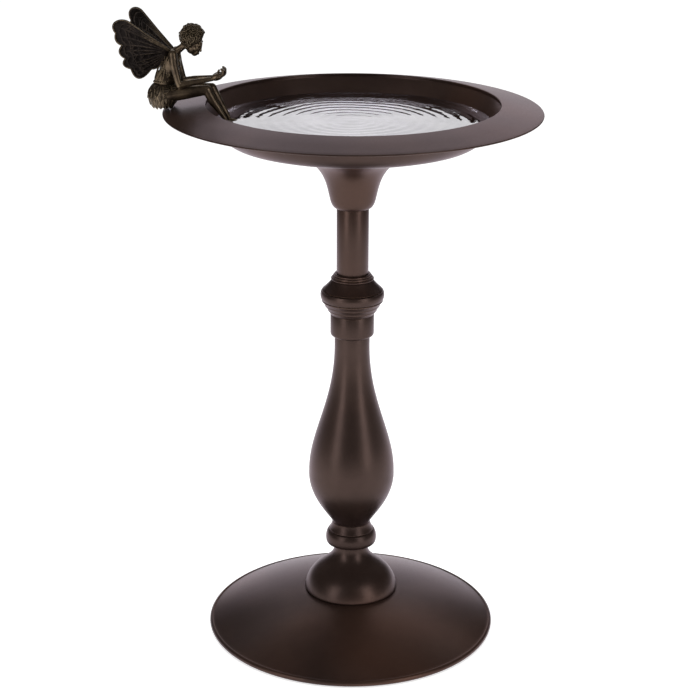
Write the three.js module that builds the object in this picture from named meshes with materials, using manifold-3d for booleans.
// A garden bird bath: a wide spun bowl on a turned stem with a round foot, and a winged
// figure that sits on the bowl's rim. Millimetres, +Z up, the origin on the floor under the stem.
import * as THREE from 'three';
import { mergeVertices } from 'three/addons/utils/BufferGeometryUtils.js';
import Module from 'manifold-3d';

const wasm = await Module();
wasm.setup();

// Clearances
const gap = 0.3; // between two faces that rest on each other
const rodClearance = 0.4; // round the tie rod in every bore

// Smoothness
const bowlSides = 40;
const stemSides = 24;
const innerSides = 12;
const figureSides = 6;
const curveSteps = 5;
const smallCurveSteps = 3;

// Base
const baseRadius = 202.3; // where the dome meets its rolled edge
const baseBead = 3.4; // how far the rolled edge stands out
const baseBeadHeight = 8.5;
const baseHeight = 53.3;
const baseSheet = 2;
const baseLift = 0.8; // the rolled edge stays this far off the floor
const baseLedge = 3.3; // flat ring round the foot bell on top of the dome
const padInset = 12.3; // the pad's edge lies this far inside the base's
const padThickness = 2.5;
const weightInset = 77.3; // and the weight's edge this far
const weightThickness = 15;
const weightHubWall = 6;
const nutPocketDepth = 12;
const nutPocketMargin = 8; // room round the washer

// Tie rod and its fasteners
const rodRadius = 5;
const rodBelowNut = 1;
const nutOverhang = 3.5; // from the rod to the nut's flats
const nutHeight = 8;
const washerOverhang = 7;
const washerThickness = 2;

// Stem, from the floor up
const footRadius = 66.7;
const footNeckRadius = 23.7;
const footHeight = 71.4;
const stemWall = 2;
const knuckleRadius = 36.2;
const knuckleFootRadius = 34;
const knuckleSeamRadius = 32.5;
const knuckleWidestHeight = 8;
const knuckleLowerHeight = 19.7;
const knuckleUpperHeight = 12.7;
const vaseFootRadius = 26.9;
const vaseBellyRadius = 60.5;
const vaseBellyHeight = 79;
const vaseNeckRadius = 24.5;
const vaseNeckLength = 42.7; // straight stretch that the sleeve grips
const vaseLength = 309.7;
const sleeveWall = 5.5;
const sleeveLength = 31.7;
const sleeveRound = 5;
const webThickness = 3.4;
const collarRadius = 44.2;
const collarCrown = 1.7; // how far the ring's middle stands out from its edges
const collarLowerHeight = 20;
const collarRingHeight = 13.4;
const collarUpperHeight = 15;
const collarCapHeight = 8.7;
const capWall = 2.7;
const capFlare = 3.6;
const capFloor = 3;
const tubeRadius = 22;
const tubeWall = 1.8;
const tubeLength = 108;
const checkRingHeight = 6;

// Bell under the bowl
const bellHeight = 70.4;
const bellSocketDepth = 9.4;
const bellSocketWall = 2;
const bellShoulderRadius = 32;
const bellShoulderHeight = 15.5;
const bellLipRadius = 64;
const bellLipWidth = 14;
const bellWeb = 3;
const gasketThickness = 2;
const gasketInset = 2;

// Bowl
const rimRadius = 254;
const rimWidth = 57.3;
const rimFall = 11.3; // the rim's outer edge lies this far below its inner edge
const rimRoll = 1.1; // radius of the rolled outer edge
const bowlDepth = 71.4; // from the rim's inner edge to the bowl's underside
const bowlSheet = 2;
const bowlFlatMargin = 10; // flat underside left round the bell's lip
const bowlDish = 10; // how far the bottom has climbed half-way to its corner
const bowlCornerInset = 19.7; // from the mouth to the rounding at the bottom
const bowlCornerHeight = 28.5;
const bowlCornerRise = 14;
const mouthRound = 1.5;
const bossWall = 8.6;
const bossFlange = 12;
const bossFlangeHeight = 3;
const rodInBoss = 22;
const bossRelief = 2; // free thread above the rod's end
const bossFloor = 4;

// Figure: places are [forward, to its left, up] from its seat on the rim
const seatInset = 18; // from the rim's outer edge
const figureTurn = THREE.MathUtils.degToRad(5);
const seatBlockRadius = 13;
const seatBlockTop = 15;
const screwSpacing = 17.9;
const screwInset = 10.5; // from the rim's outer edge
const screwShank = 1.6;
const screwHead = 3.2;
const screwHeadHeight = 2;
const screwDepth = 12;
const screwClearance = 0.4;
const screwWasherOverhang = 2.4;
const screwWasherThickness = 0.8;
const wingSplay = THREE.MathUtils.degToRad(31); // from straight back
const wingLean = THREE.MathUtils.degToRad(11); // its top leans outwards
const wingThickness = 2;
const wingRoot = [-5, 9, 75.6];

// Sizes that follow from the ones above
const bore = rodRadius + rodClearance;
const padRadius = baseRadius - padInset;
const footRecess = footRadius + baseLedge; // radius of the flat top the foot bell stands on
const washerRadius = rodRadius + washerOverhang;
const nutAcrossFlats = 2 * (rodRadius + nutOverhang);
const nutPocketRadius = washerRadius + nutPocketMargin;
const vaseNeckHeight = vaseLength - vaseNeckLength;
const sleeveBore = vaseNeckRadius + gap;
const sleeveRadius = sleeveBore + sleeveWall;
const collarEdgeRadius = collarRadius - collarCrown;
const tubeSocket = tubeRadius + gap;
const capLipRadius = tubeSocket + capWall;
const capFootRadius = capLipRadius + capFlare;
const mouthRadius = rimRadius - rimWidth;
const rimSlope = Math.atan2(rimFall, rimWidth);
const bowlFlatRadius = bellLipRadius + bowlFlatMargin;
const bowlCornerRadius = mouthRadius - bowlCornerInset;
const bossRadius = bore + bossWall;
const bossBoreDepth = rodInBoss + bossRelief;
const bossHeight = bossBoreDepth + bossFloor;
const seatRadius = rimRadius - seatInset;
const screwRadiusOnRim = rimRadius - screwInset;
const screwTurn = screwSpacing / 2 / screwRadiusOnRim;

// Heights of the seats, each piece standing on the one below
const weightSeat = padThickness + gap;
const footSeat = baseHeight + gap;
const knuckleLowerSeat = footSeat + footHeight + gap;
const knuckleUpperSeat = knuckleLowerSeat + knuckleLowerHeight + gap;
const vaseSeat = knuckleUpperSeat + knuckleUpperHeight + gap;
const vaseTop = vaseSeat + vaseLength;
const sleeveSeat = vaseTop + gap + webThickness - sleeveLength;
const collarLowerSeat = sleeveSeat + sleeveLength + gap;
const collarRingSeat = collarLowerSeat + collarLowerHeight + gap;
const collarUpperSeat = collarRingSeat + collarRingHeight + gap;
const collarCapSeat = collarUpperSeat + collarUpperHeight + gap;
const tubeSeat = collarCapSeat + capFloor + gap;
const tubeTop = tubeSeat + tubeLength;
const bellSeat = tubeTop + gap - bellSocketDepth;
const bellTop = bellSeat + bellHeight;
const gasketSeat = bellTop + gap;
const bowlSeat = gasketSeat + gasketThickness + gap;
const bossSeat = bowlSeat - gap - bossHeight;
const rodBottom = weightSeat + nutPocketDepth - washerThickness - nutHeight - 2 * gap - rodBelowNut;
const rodTop = bossSeat + rodInBoss;

const bronze = () => new THREE.MeshStandardMaterial({ color: 0x3c2e2b, roughness: 0.42, metalness: 0.85 });
const antique = () => new THREE.MeshStandardMaterial({ color: 0x6f6248, roughness: 0.45, metalness: 0.9 });
const castIron = () => new THREE.MeshStandardMaterial({ color: 0x2b2a29, roughness: 0.8, metalness: 0.6 });
const zinc = () => new THREE.MeshStandardMaterial({ color: 0x9a9da0, roughness: 0.4, metalness: 0.9 });
const rubber = () => new THREE.MeshStandardMaterial({ color: 0x1c1b1b, roughness: 0.9, metalness: 0 });

const birdBath = new THREE.Group();

function add(name, geometry, material, height = 0, parent = birdBath) {
  const mesh = new THREE.Mesh(geometry, material);
  mesh.name = name;
  mesh.position.z = height;
  parent.add(mesh);
  return mesh;
}

// A solid of revolution about Z. The outline's x is the radius and its y the height.
function turned(points, sides) {
  const geometry = new THREE.LatheGeometry(points, sides);
  geometry.rotateX(Math.PI / 2);
  return geometry;
}

function disc(radius, height, sides) {
  const geometry = new THREE.CylinderGeometry(radius, radius, height, sides);
  geometry.rotateX(Math.PI / 2);
  geometry.translate(0, 0, height / 2);
  return geometry;
}

function ring(outer, inner, height, sides) {
  const outline = new THREE.Path()
    .moveTo(inner, 0)
    .lineTo(outer, 0)
    .lineTo(outer, height)
    .lineTo(inner, height)
    .lineTo(inner, 0);
  return turned(outline.getPoints(), sides);
}

// The same curve moved by a wall towards the axis side, for a curve that climbs.
function innerFace(points, wall) {
  return points.map((point, i) => {
    const before = points[Math.max(i - 1, 0)];
    const after = points[Math.min(i + 1, points.length - 1)];
    const along = after.clone().sub(before).normalize();
    return new THREE.Vector2(point.x - along.y * wall, point.y + along.x * wall);
  });
}

function toSolid(geometry) {
  const bare = geometry.clone();
  bare.deleteAttribute('normal');
  bare.deleteAttribute('uv');
  const merged = mergeVertices(bare, 1e-4);
  return new wasm.Manifold(new wasm.Mesh({
    numProp: 3,
    vertProperties: merged.attributes.position.array,
    triVerts: new Uint32Array(merged.index.array),
  }));
}

function toGeometry(solid) {
  const mesh = solid.getMesh();
  const geometry = new THREE.BufferGeometry();
  geometry.setAttribute('position', new THREE.BufferAttribute(mesh.vertProperties, 3));
  geometry.setIndex(new THREE.BufferAttribute(mesh.triVerts, 1));
  geometry.computeVertexNormals();
  return geometry;
}

function nut() {
  const hexagon = new THREE.Shape();
  const corner = nutAcrossFlats / Math.sqrt(3);
  for (let i = 0; i < 6; i++) {
    const turn = (i * Math.PI) / 3;
    hexagon[i ? 'lineTo' : 'moveTo'](corner * Math.cos(turn), corner * Math.sin(turn));
  }
  hexagon.holes.push(new THREE.Path().absarc(0, 0, bore, 0, 2 * Math.PI, true));
  return new THREE.ExtrudeGeometry(hexagon, { depth: nutHeight, bevelEnabled: false, curveSegments: innerSides / 2 });
}

function makeBase() {
  const domeReach = (baseRadius - footRecess) / 3;
  const weightRadius = baseRadius - weightInset;
  const weightHubRadius = nutPocketRadius + weightHubWall;
  add('base_pad', disc(padRadius, padThickness, bowlSides), rubber());

  const outer = new THREE.Path()
    .moveTo(baseRadius, baseLift)
    .quadraticCurveTo(baseRadius + 2 * baseBead, baseBeadHeight / 2, baseRadius, baseBeadHeight)
    .bezierCurveTo(
      baseRadius - domeReach, 0.55 * baseHeight,
      footRecess + domeReach, 0.83 * baseHeight,
      footRecess, baseHeight,
    )
    .lineTo(bore, baseHeight)
    .getPoints(curveSteps);
  const inner = innerFace(outer, baseSheet).reverse();
  inner[0].x = bore;
  inner[inner.length - 1].y = baseLift;
  add('base_plate', turned([...outer, ...inner, outer[0]], bowlSides), bronze());

  const hubTop = baseHeight - baseSheet - gap - weightSeat;
  const weight = new THREE.Path()
    .moveTo(nutPocketRadius, 0)
    .lineTo(weightRadius, 0)
    .lineTo(weightRadius, weightThickness)
    .lineTo(weightHubRadius, weightThickness)
    .lineTo(weightHubRadius, hubTop)
    .lineTo(bore, hubTop)
    .lineTo(bore, nutPocketDepth)
    .lineTo(nutPocketRadius, nutPocketDepth)
    .lineTo(nutPocketRadius, 0);
  add('base_weight', turned(weight.getPoints(), stemSides), castIron(), weightSeat);
}

function makeTieRod() {
  add('tie_rod', disc(rodRadius, rodTop - rodBottom, innerSides), zinc(), rodBottom);

  const lowerWasher = weightSeat + nutPocketDepth - gap - washerThickness;
  add('rod_lower_washer', ring(washerRadius, bore, washerThickness, innerSides), zinc(), lowerWasher);
  add('rod_lower_nut', nut(), zinc(), lowerWasher - gap - nutHeight);

  const upperWasher = tubeTop + gap + bellWeb + gap;
  add('rod_upper_washer', ring(washerRadius, bore, washerThickness, innerSides), zinc(), upperWasher);
  add('rod_upper_nut', nut(), zinc(), upperWasher + washerThickness + gap);
}

function makeFoot() {
  const outer = new THREE.Path()
    .moveTo(footRadius, 0)
    .bezierCurveTo(
      footRadius - 6.4, 0.58 * footHeight,
      footNeckRadius - 3.6, 0.535 * footHeight,
      footNeckRadius, footHeight,
    )
    .getPoints(2 * curveSteps - 2);
  const inner = innerFace(outer, stemWall).reverse();
  inner[0].y = footHeight;
  inner[inner.length - 1].y = 0;
  add('foot_bell', turned([...outer, ...inner, outer[0]], stemSides), bronze(), footSeat);

  const lower = new THREE.Path()
    .moveTo(bore, 0)
    .lineTo(knuckleFootRadius, 0)
    .quadraticCurveTo(knuckleRadius, 0.2 * knuckleWidestHeight, knuckleRadius, knuckleWidestHeight)
    .quadraticCurveTo(knuckleRadius, 0.75 * knuckleLowerHeight, knuckleSeamRadius, knuckleLowerHeight)
    .lineTo(bore, knuckleLowerHeight)
    .lineTo(bore, 0);
  add('knuckle_lower', turned(lower.getPoints(smallCurveSteps), stemSides), bronze(), knuckleLowerSeat);

  const upper = new THREE.Path()
    .moveTo(bore, 0)
    .lineTo(knuckleSeamRadius, 0)
    .quadraticCurveTo(vaseFootRadius + 1, knuckleUpperHeight / 2, vaseFootRadius, knuckleUpperHeight)
    .lineTo(bore, knuckleUpperHeight)
    .lineTo(bore, 0);
  add('knuckle_upper', turned(upper.getPoints(smallCurveSteps), stemSides), bronze(), knuckleUpperSeat);
}

function makeVase() {
  const bellyToNeck = vaseNeckHeight - vaseBellyHeight;
  const outer = new THREE.Path()
    .moveTo(vaseFootRadius, 0)
    .bezierCurveTo(
      vaseFootRadius + 2.6, vaseBellyHeight / 8,
      vaseBellyRadius + 2.5, vaseBellyHeight / 2,
      vaseBellyRadius, vaseBellyHeight,
    )
    .bezierCurveTo(
      vaseBellyRadius, vaseBellyHeight + 0.3 * bellyToNeck,
      vaseNeckRadius, vaseNeckHeight - 0.45 * bellyToNeck,
      vaseNeckRadius, vaseNeckHeight,
    )
    .lineTo(vaseNeckRadius, vaseLength)
    .getPoints(curveSteps + 1);
  const inner = innerFace(outer, stemWall).reverse();
  inner[inner.length - 1].y = 0;
  add('vase_body', turned([...outer, ...inner, outer[0]], stemSides), bronze(), vaseSeat);

  const lowerRing = vaseFootRadius - stemWall - 2 * gap;
  add('vase_lower_ring', ring(lowerRing, bore, checkRingHeight, innerSides), castIron(), vaseSeat);
  const upperRing = vaseNeckRadius - stemWall - gap;
  add('vase_upper_ring', ring(upperRing, bore, checkRingHeight, innerSides), castIron(), vaseTop - checkRingHeight);

  const sleeve = new THREE.Path()
    .moveTo(sleeveBore, 0)
    .quadraticCurveTo(sleeveRadius, 0, sleeveRadius, sleeveRound)
    .lineTo(sleeveRadius, sleeveLength)
    .lineTo(bore, sleeveLength)
    .lineTo(bore, sleeveLength - webThickness)
    .lineTo(sleeveBore, sleeveLength - webThickness)
    .lineTo(sleeveBore, 0);
  add('neck_sleeve', turned(sleeve.getPoints(smallCurveSteps), stemSides), bronze(), sleeveSeat);
}

function makeCollar() {
  const lower = new THREE.Path()
    .moveTo(bore, 0)
    .lineTo(sleeveRadius, 0)
    .quadraticCurveTo(sleeveRadius + 7, collarLowerHeight / 2, collarEdgeRadius, collarLowerHeight)
    .lineTo(bore, collarLowerHeight)
    .lineTo(bore, 0);
  add('collar_lower', turned(lower.getPoints(smallCurveSteps), stemSides), bronze(), collarLowerSeat);

  const middle = new THREE.Path()
    .moveTo(bore, 0)
    .lineTo(collarEdgeRadius, 0)
    .quadraticCurveTo(
      2 * collarRadius - collarEdgeRadius, collarRingHeight / 2,
      collarEdgeRadius, collarRingHeight,
    )
    .lineTo(bore, collarRingHeight)
    .lineTo(bore, 0);
  add('collar_ring', turned(middle.getPoints(smallCurveSteps), stemSides), bronze(), collarRingSeat);

  const upper = new THREE.Path()
    .moveTo(bore, 0)
    .lineTo(collarEdgeRadius, 0)
    .quadraticCurveTo(capFootRadius + 5, collarUpperHeight / 2, capFootRadius, collarUpperHeight)
    .lineTo(bore, collarUpperHeight)
    .lineTo(bore, 0);
  add('collar_upper', turned(upper.getPoints(smallCurveSteps), stemSides), bronze(), collarUpperSeat);

  const cap = new THREE.Path()
    .moveTo(bore, 0)
    .lineTo(capFootRadius, 0)
    .quadraticCurveTo(capFootRadius - 1, collarCapHeight, capLipRadius, collarCapHeight)
    .lineTo(tubeSocket, collarCapHeight)
    .lineTo(tubeSocket, capFloor)
    .lineTo(bore, capFloor)
    .lineTo(bore, 0);
  add('collar_cap', turned(cap.getPoints(smallCurveSteps), stemSides), bronze(), collarCapSeat);
}

function makeTube() {
  add('column_tube', ring(tubeRadius, tubeRadius - tubeWall, tubeLength, stemSides), bronze(), tubeSeat);
  const ringRadius = tubeRadius - tubeWall - gap;
  add('tube_lower_ring', ring(ringRadius, bore, checkRingHeight, innerSides), castIron(), tubeSeat);
  add('tube_upper_ring', ring(ringRadius, bore, checkRingHeight, innerSides), castIron(), tubeTop - checkRingHeight);
}

function makeBell() {
  const outer = new THREE.Path()
    .moveTo(tubeSocket + bellSocketWall, 0)
    .quadraticCurveTo(0.92 * bellShoulderRadius, 2, bellShoulderRadius, bellShoulderHeight)
    .bezierCurveTo(
      1.1 * bellShoulderRadius, 0.4 * bellHeight,
      1.19 * bellShoulderRadius, 0.76 * bellHeight,
      bellLipRadius, bellHeight - stemWall,
    )
    .lineTo(bellLipRadius, bellHeight)
    .getPoints(curveSteps);
  const webTop = bellSocketDepth + bellWeb;
  const inner = innerFace(outer.slice(0, -1), stemWall)
    .filter((point) => point.y > webTop + 1)
    .reverse();
  const lip = new THREE.Vector2(bellLipRadius - bellLipWidth, bellHeight);
  const lipUnder = new THREE.Vector2(lip.x, bellHeight - stemWall);
  const cavityTop = inner[0];
  cavityTop.y = lipUnder.y - gap;
  const outline = [
    ...outer,
    lip,
    lipUnder,
    ...inner,
    new THREE.Vector2(inner[inner.length - 1].x - 1, webTop),
    new THREE.Vector2(bore, webTop),
    new THREE.Vector2(bore, bellSocketDepth),
    new THREE.Vector2(tubeSocket, bellSocketDepth),
    new THREE.Vector2(tubeSocket, 0),
    outer[0],
  ];
  add('bowl_bell', turned(outline, stemSides), bronze(), bellSeat);

  const gasket = ring(bellLipRadius - gasketInset, lip.x + gasketInset, gasketThickness, stemSides);
  add('bowl_gasket', gasket, rubber(), gasketSeat);
}

// Heights above the bowl's underside along the rim's sloping top.
function rimTopHeight(radius) {
  return bowlDepth - (radius - mouthRadius) * Math.tan(rimSlope);
}

// The bowl's outline from the middle of its underside round the rolled edge to the inside.
function bowlOutline() {
  const rimUnder = (radius) => rimTopHeight(radius) - bowlSheet / Math.cos(rimSlope);
  const rollX = rimRadius - rimRoll;
  const rollY = rimTopHeight(rollX) - rimRoll / Math.cos(rimSlope);
  const rollStart = Math.PI - Math.asin((rimRoll - bowlSheet) / rimRoll) - rimSlope;
  const dishRadius = (bowlFlatRadius + bowlCornerRadius) / 2;
  const wallX = bowlCornerRadius + 8;
  const wallY = bowlCornerHeight + bowlCornerRise;
  const under = new THREE.Path()
    .moveTo(0, 0)
    .lineTo(bowlFlatRadius, 0)
    .quadraticCurveTo(dishRadius, bowlDish, bowlCornerRadius - 9, bowlCornerHeight - 6)
    .quadraticCurveTo(bowlCornerRadius + 1, bowlCornerHeight - 1, wallX, wallY)
    .lineTo(mouthRadius + bowlSheet, rimUnder(mouthRadius + bowlSheet))
    .absarc(rollX, rollY, rimRoll, rollStart, 2.5 * Math.PI - rimSlope, false)
    .lineTo(mouthRadius, bowlDepth)
    .getPoints(smallCurveSteps);
  const inside = new THREE.Path()
    .moveTo(mouthRadius - mouthRound / 4, bowlDepth - mouthRound)
    .lineTo(wallX - bowlSheet, wallY)
    .quadraticCurveTo(
      bowlCornerRadius, bowlCornerHeight,
      bowlCornerRadius - 10, bowlCornerHeight - 6 + bowlSheet,
    )
    .quadraticCurveTo(dishRadius, bowlDish + bowlSheet, bowlFlatRadius, bowlSheet)
    .lineTo(0, bowlSheet)
    .getPoints(smallCurveSteps);
  return [...under, ...inside];
}

// A group whose +Z stands square on the rim at a radius and a turn round the bowl.
function rimSeat(radius, turn) {
  const arm = new THREE.Group();
  arm.rotation.z = turn;
  const seat = new THREE.Group();
  seat.position.set(radius, 0, bowlSeat + rimTopHeight(radius));
  seat.rotation.y = rimSlope;
  arm.add(seat);
  birdBath.add(arm);
  arm.updateMatrixWorld(true);
  return seat;
}

function screwHole(seat, radius, from, to) {
  const hole = disc(radius, to - from, innerSides);
  hole.translate(0, 0, from);
  hole.applyMatrix4(seat.matrixWorld);
  return toSolid(hole);
}

function ellipsoid(centre, radii, grow) {
  const geometry = new THREE.SphereGeometry(1, figureSides + 2, figureSides - 1);
  geometry.scale(...radii.map((radius) => radius + grow));
  geometry.translate(...centre);
  return toSolid(geometry);
}

// A limb that tapers from one round joint to the next.
function limb(from, to, fromRadius, toRadius, grow) {
  const start = new THREE.Vector3(...from);
  const end = new THREE.Vector3(...to);
  const along = end.clone().sub(start);
  const middle = start.clone().add(end).multiplyScalar(0.5);
  const bar = new THREE.CylinderGeometry(toRadius + grow, fromRadius + grow, along.length(), figureSides);
  const turn = new THREE.Quaternion().setFromUnitVectors(new THREE.Vector3(0, 1, 0), along.normalize());
  bar.applyQuaternion(turn);
  bar.translate(...middle);
  const joints = [[from, fromRadius], [to, toRadius]].map(([centre, radius]) => {
    const ball = new THREE.SphereGeometry(radius + grow, figureSides, figureSides / 2);
    ball.translate(...centre);
    return toSolid(ball);
  });
  return toSolid(bar).add(joints[0]).add(joints[1]);
}

// The seated figure, leaning over the water with cupped hands. grow swells it all round.
function figureSolid(grow) {
  const masses = [
    ellipsoid([-18, 0, 15], [21, 20, 19], grow),
    ellipsoid([-16, 0, 37], [14, 13, 15], grow),
    ellipsoid([-5, 0, 61], [13, 14, 18], grow),
    ellipsoid([24, 0, 92.5], [17, 15.5, 21.5], grow),
    limb([0, 0, 74], [17, 0, 86], 6, 5, grow),
  ];
  for (const side of [-1, 1]) {
    masses.push(
      limb([-1, side * 14, 73], [8, side * 17, 33], 5, 4, grow),
      limb([8, side * 17, 33], [54, side * 6, 43], 4, 3, grow),
      ellipsoid([59, side * 5, 46], [9, 4.6, 6], grow),
      limb([-12, side * 9, 18], [49, side * 7, 27], 10, 6.5, grow),
      limb([49, side * 7, 27], [68, side * 6, -13], 6, 3, grow),
      limb([68, side * 6, -13], [79, side * 6, -20], 3.2, 2.6, grow),
    );
  }
  const seatBlock = disc(seatBlockRadius + grow, 1.5 * seatBlockTop, innerSides);
  seatBlock.translate(-9, 0, -seatBlockTop / 2);
  masses.push(toSolid(seatBlock));
  return masses.reduce((whole, mass) => whole.add(mass));
}

// A wing in its own plane: x outwards from the root, y up, with five lobes on its trailing edge.
function wingShape() {
  return new THREE.Shape()
    .moveTo(0, 3)
    .lineTo(56, 43)
    .bezierCurveTo(67, 53, 88, 46, 75, 30)
    .quadraticCurveTo(78, 18, 66, 13)
    .quadraticCurveTo(75, 3, 61, -5.5)
    .quadraticCurveTo(69, -15, 53, -20)
    .bezierCurveTo(48, -34, 40, -42, 25, -22)
    .quadraticCurveTo(16, -24, 10.5, -13)
    .lineTo(2, -15)
    .lineTo(0, 3);
}

function wing(side) {
  const geometry = new THREE.ExtrudeGeometry(wingShape(), {
    depth: wingThickness,
    bevelEnabled: false,
    curveSegments: smallCurveSteps,
  });
  geometry.translate(0, 0, -wingThickness / 2);
  const outwards = new THREE.Vector3(-Math.cos(wingSplay), side * Math.sin(wingSplay), 0);
  const sideways = new THREE.Vector3(Math.sin(wingSplay), side * Math.cos(wingSplay), 0);
  const up = new THREE.Vector3(0, 0, Math.cos(wingLean)).addScaledVector(sideways, Math.sin(wingLean));
  const across = outwards.clone().cross(up);
  geometry.applyMatrix4(new THREE.Matrix4().makeBasis(outwards, up, across));
  const [back, out, height] = wingRoot;
  geometry.translate(back, side * out, height);
  return toSolid(geometry);
}

function makeBowlAndFigure() {
  const seats = [-1, 1].map((side) => rimSeat(screwRadiusOnRim, Math.PI + side * screwTurn));

  let bowl = toSolid(turned(bowlOutline(), bowlSides).translate(0, 0, bowlSeat));
  for (const seat of seats) {
    bowl = bowl.subtract(screwHole(seat, screwShank + screwClearance, -3 * bowlSheet, bowlSheet));
  }
  add('bowl', toGeometry(bowl), bronze());

  const boss = new THREE.Path()
    .moveTo(bore, 0)
    .lineTo(bossRadius, 0)
    .lineTo(bossRadius, bossHeight - bossFlangeHeight)
    .lineTo(bossRadius + bossFlange, bossHeight - bossFlangeHeight)
    .lineTo(bossRadius + bossFlange, bossHeight)
    .lineTo(0, bossHeight)
    .lineTo(0, bossBoreDepth)
    .lineTo(bore, bossBoreDepth)
    .lineTo(bore, 0);
  add('bowl_boss', turned(boss.getPoints(), innerSides), zinc(), bossSeat);

  const figure = new THREE.Group();
  figure.position.set(-seatRadius, 0, bowlSeat + rimTopHeight(seatRadius));
  figure.rotation.z = -figureTurn;
  birdBath.add(figure);
  figure.updateMatrixWorld(true);
  const place = figure.matrixWorld.elements;

  const rimTop = new THREE.Path()
    .moveTo(mouthRadius - 1, -rimWidth)
    .lineTo(rimRadius + gap, -rimWidth)
    .lineTo(rimRadius + gap, gap - rimFall)
    .lineTo(mouthRadius, gap)
    .lineTo(mouthRadius - 1, -gap)
    .lineTo(mouthRadius - 1, -rimWidth);
  const rimCutter = toSolid(turned(rimTop.getPoints(), bowlSides).translate(0, 0, bowlSeat + bowlDepth));

  let body = figureSolid(0).transform(place).subtract(rimCutter);
  for (const seat of seats) {
    body = body.subtract(screwHole(seat, screwShank + screwClearance, -1, screwDepth + 1));
  }
  add('fairy_body', toGeometry(body), antique());

  const swollen = figureSolid(gap);
  add('fairy_wing_right', toGeometry(wing(-1).subtract(swollen)), antique(), 0, figure);
  add('fairy_wing_left', toGeometry(wing(1).subtract(swollen)), antique(), 0, figure);

  seats.forEach((seat, i) => {
    const name = i ? 'right' : 'left';
    const washerTop = -bowlSheet - gap;
    const washer = ring(screwShank + screwWasherOverhang, screwShank + gap, screwWasherThickness, innerSides);
    add(`fairy_washer_${name}`, washer, zinc(), washerTop - screwWasherThickness, seat);
    const headTop = washerTop - screwWasherThickness - gap;
    const screw = new THREE.Path()
      .moveTo(0, headTop - screwHeadHeight)
      .lineTo(screwHead, headTop - screwHeadHeight)
      .lineTo(screwHead, headTop)
      .lineTo(screwShank, headTop)
      .lineTo(screwShank, screwDepth)
      .lineTo(0, screwDepth);
    add(`fairy_screw_${name}`, turned(screw.getPoints(), innerSides), zinc(), 0, seat);
  });
}

makeBase();
makeTieRod();
makeFoot();
makeVase();
makeCollar();
makeTube();
makeBell();
makeBowlAndFigure();

export default birdBath;
